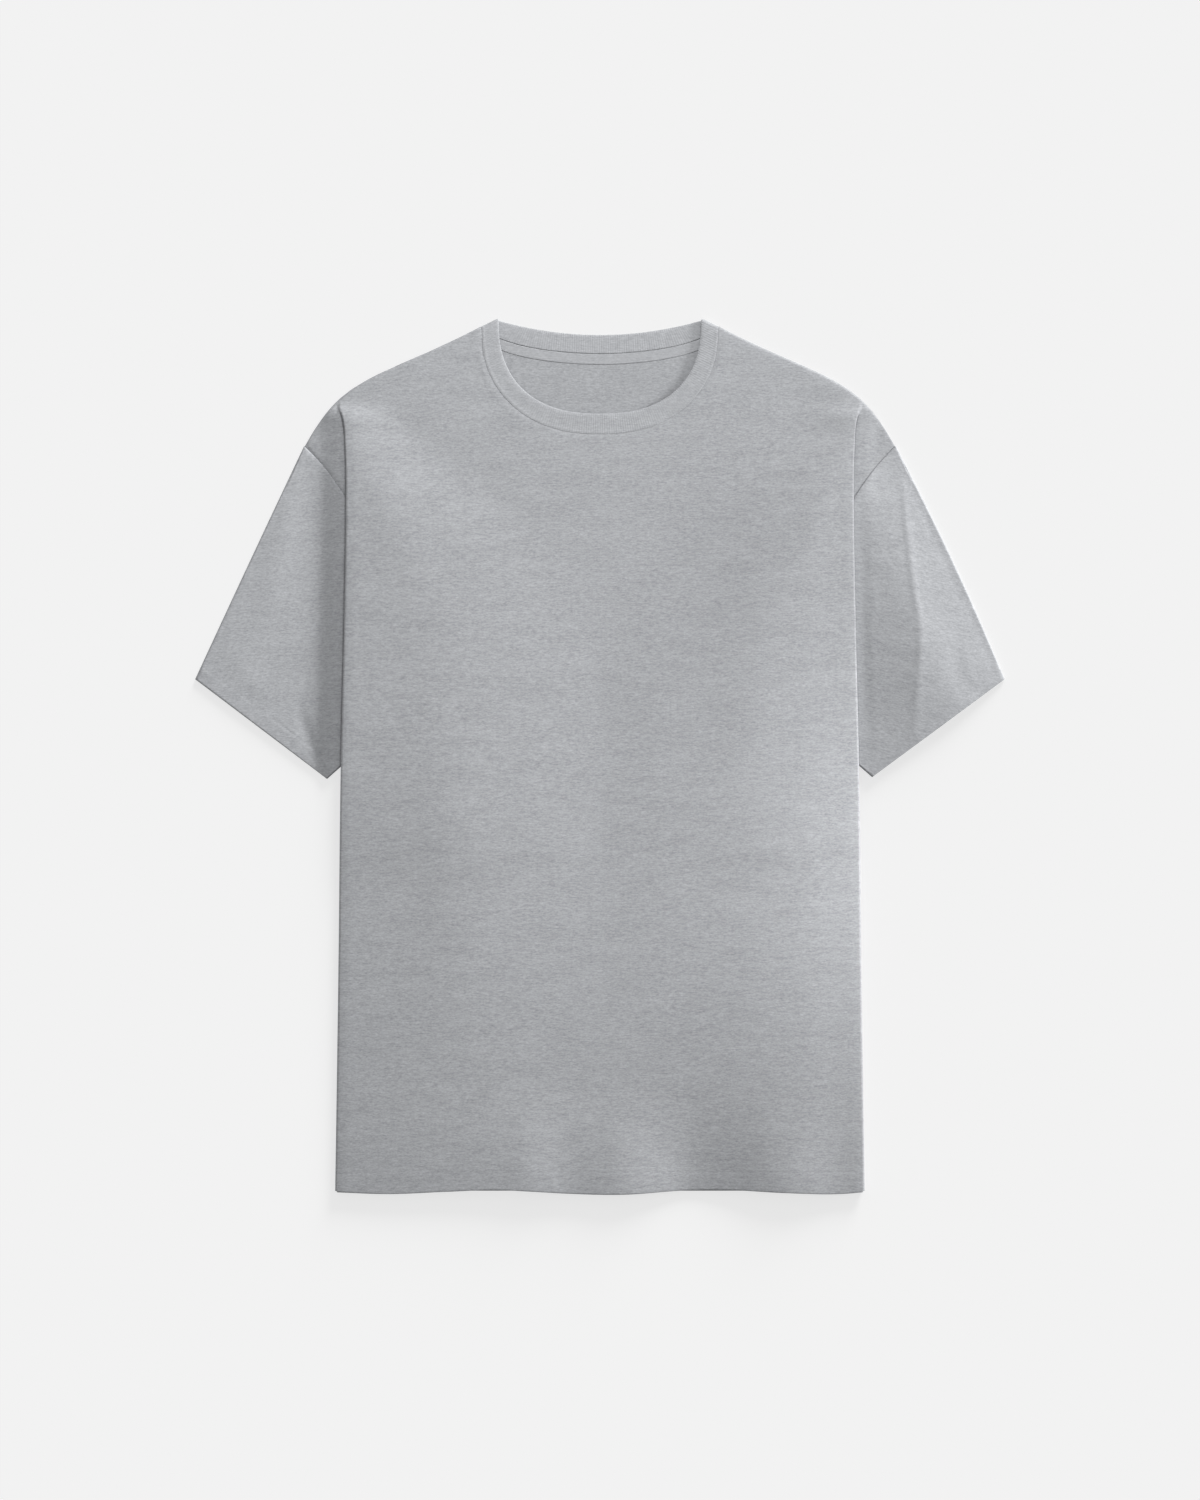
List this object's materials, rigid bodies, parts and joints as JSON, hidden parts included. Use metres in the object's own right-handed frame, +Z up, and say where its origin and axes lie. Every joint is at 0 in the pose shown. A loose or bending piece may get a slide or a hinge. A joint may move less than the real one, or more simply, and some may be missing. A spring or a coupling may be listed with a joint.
{
  "type": "crew neck t-shirt",
  "caption": "Short-sleeved crew neck t-shirt with dropped shoulders and a ribbed neck band, laid flat on its back with its sleeves pulled down beside the body.",
  "frame": {"origin": "on the surface that the shirt lies on, at the middle of its bounding box", "axes": "+X across the chest to the right as seen from above, +Y along the body from hem to neck, +Z up from the surface, out of the front"},
  "size_m": [0.6882, 0.7445, 0.0102],
  "materials": {
    "jersey": "heather grey single jersey, matt",
    "rib": "heather grey rib, matt",
    "tape": "heather grey jersey tape, matt"
  },
  "bodies": {
    "root": {"front": "jersey", "back": "jersey", "sleeve_left": "jersey", "sleeve_right": "jersey", "neck_band": "rib", "neck_tape": "tape"}
  },
  "joints": []
}
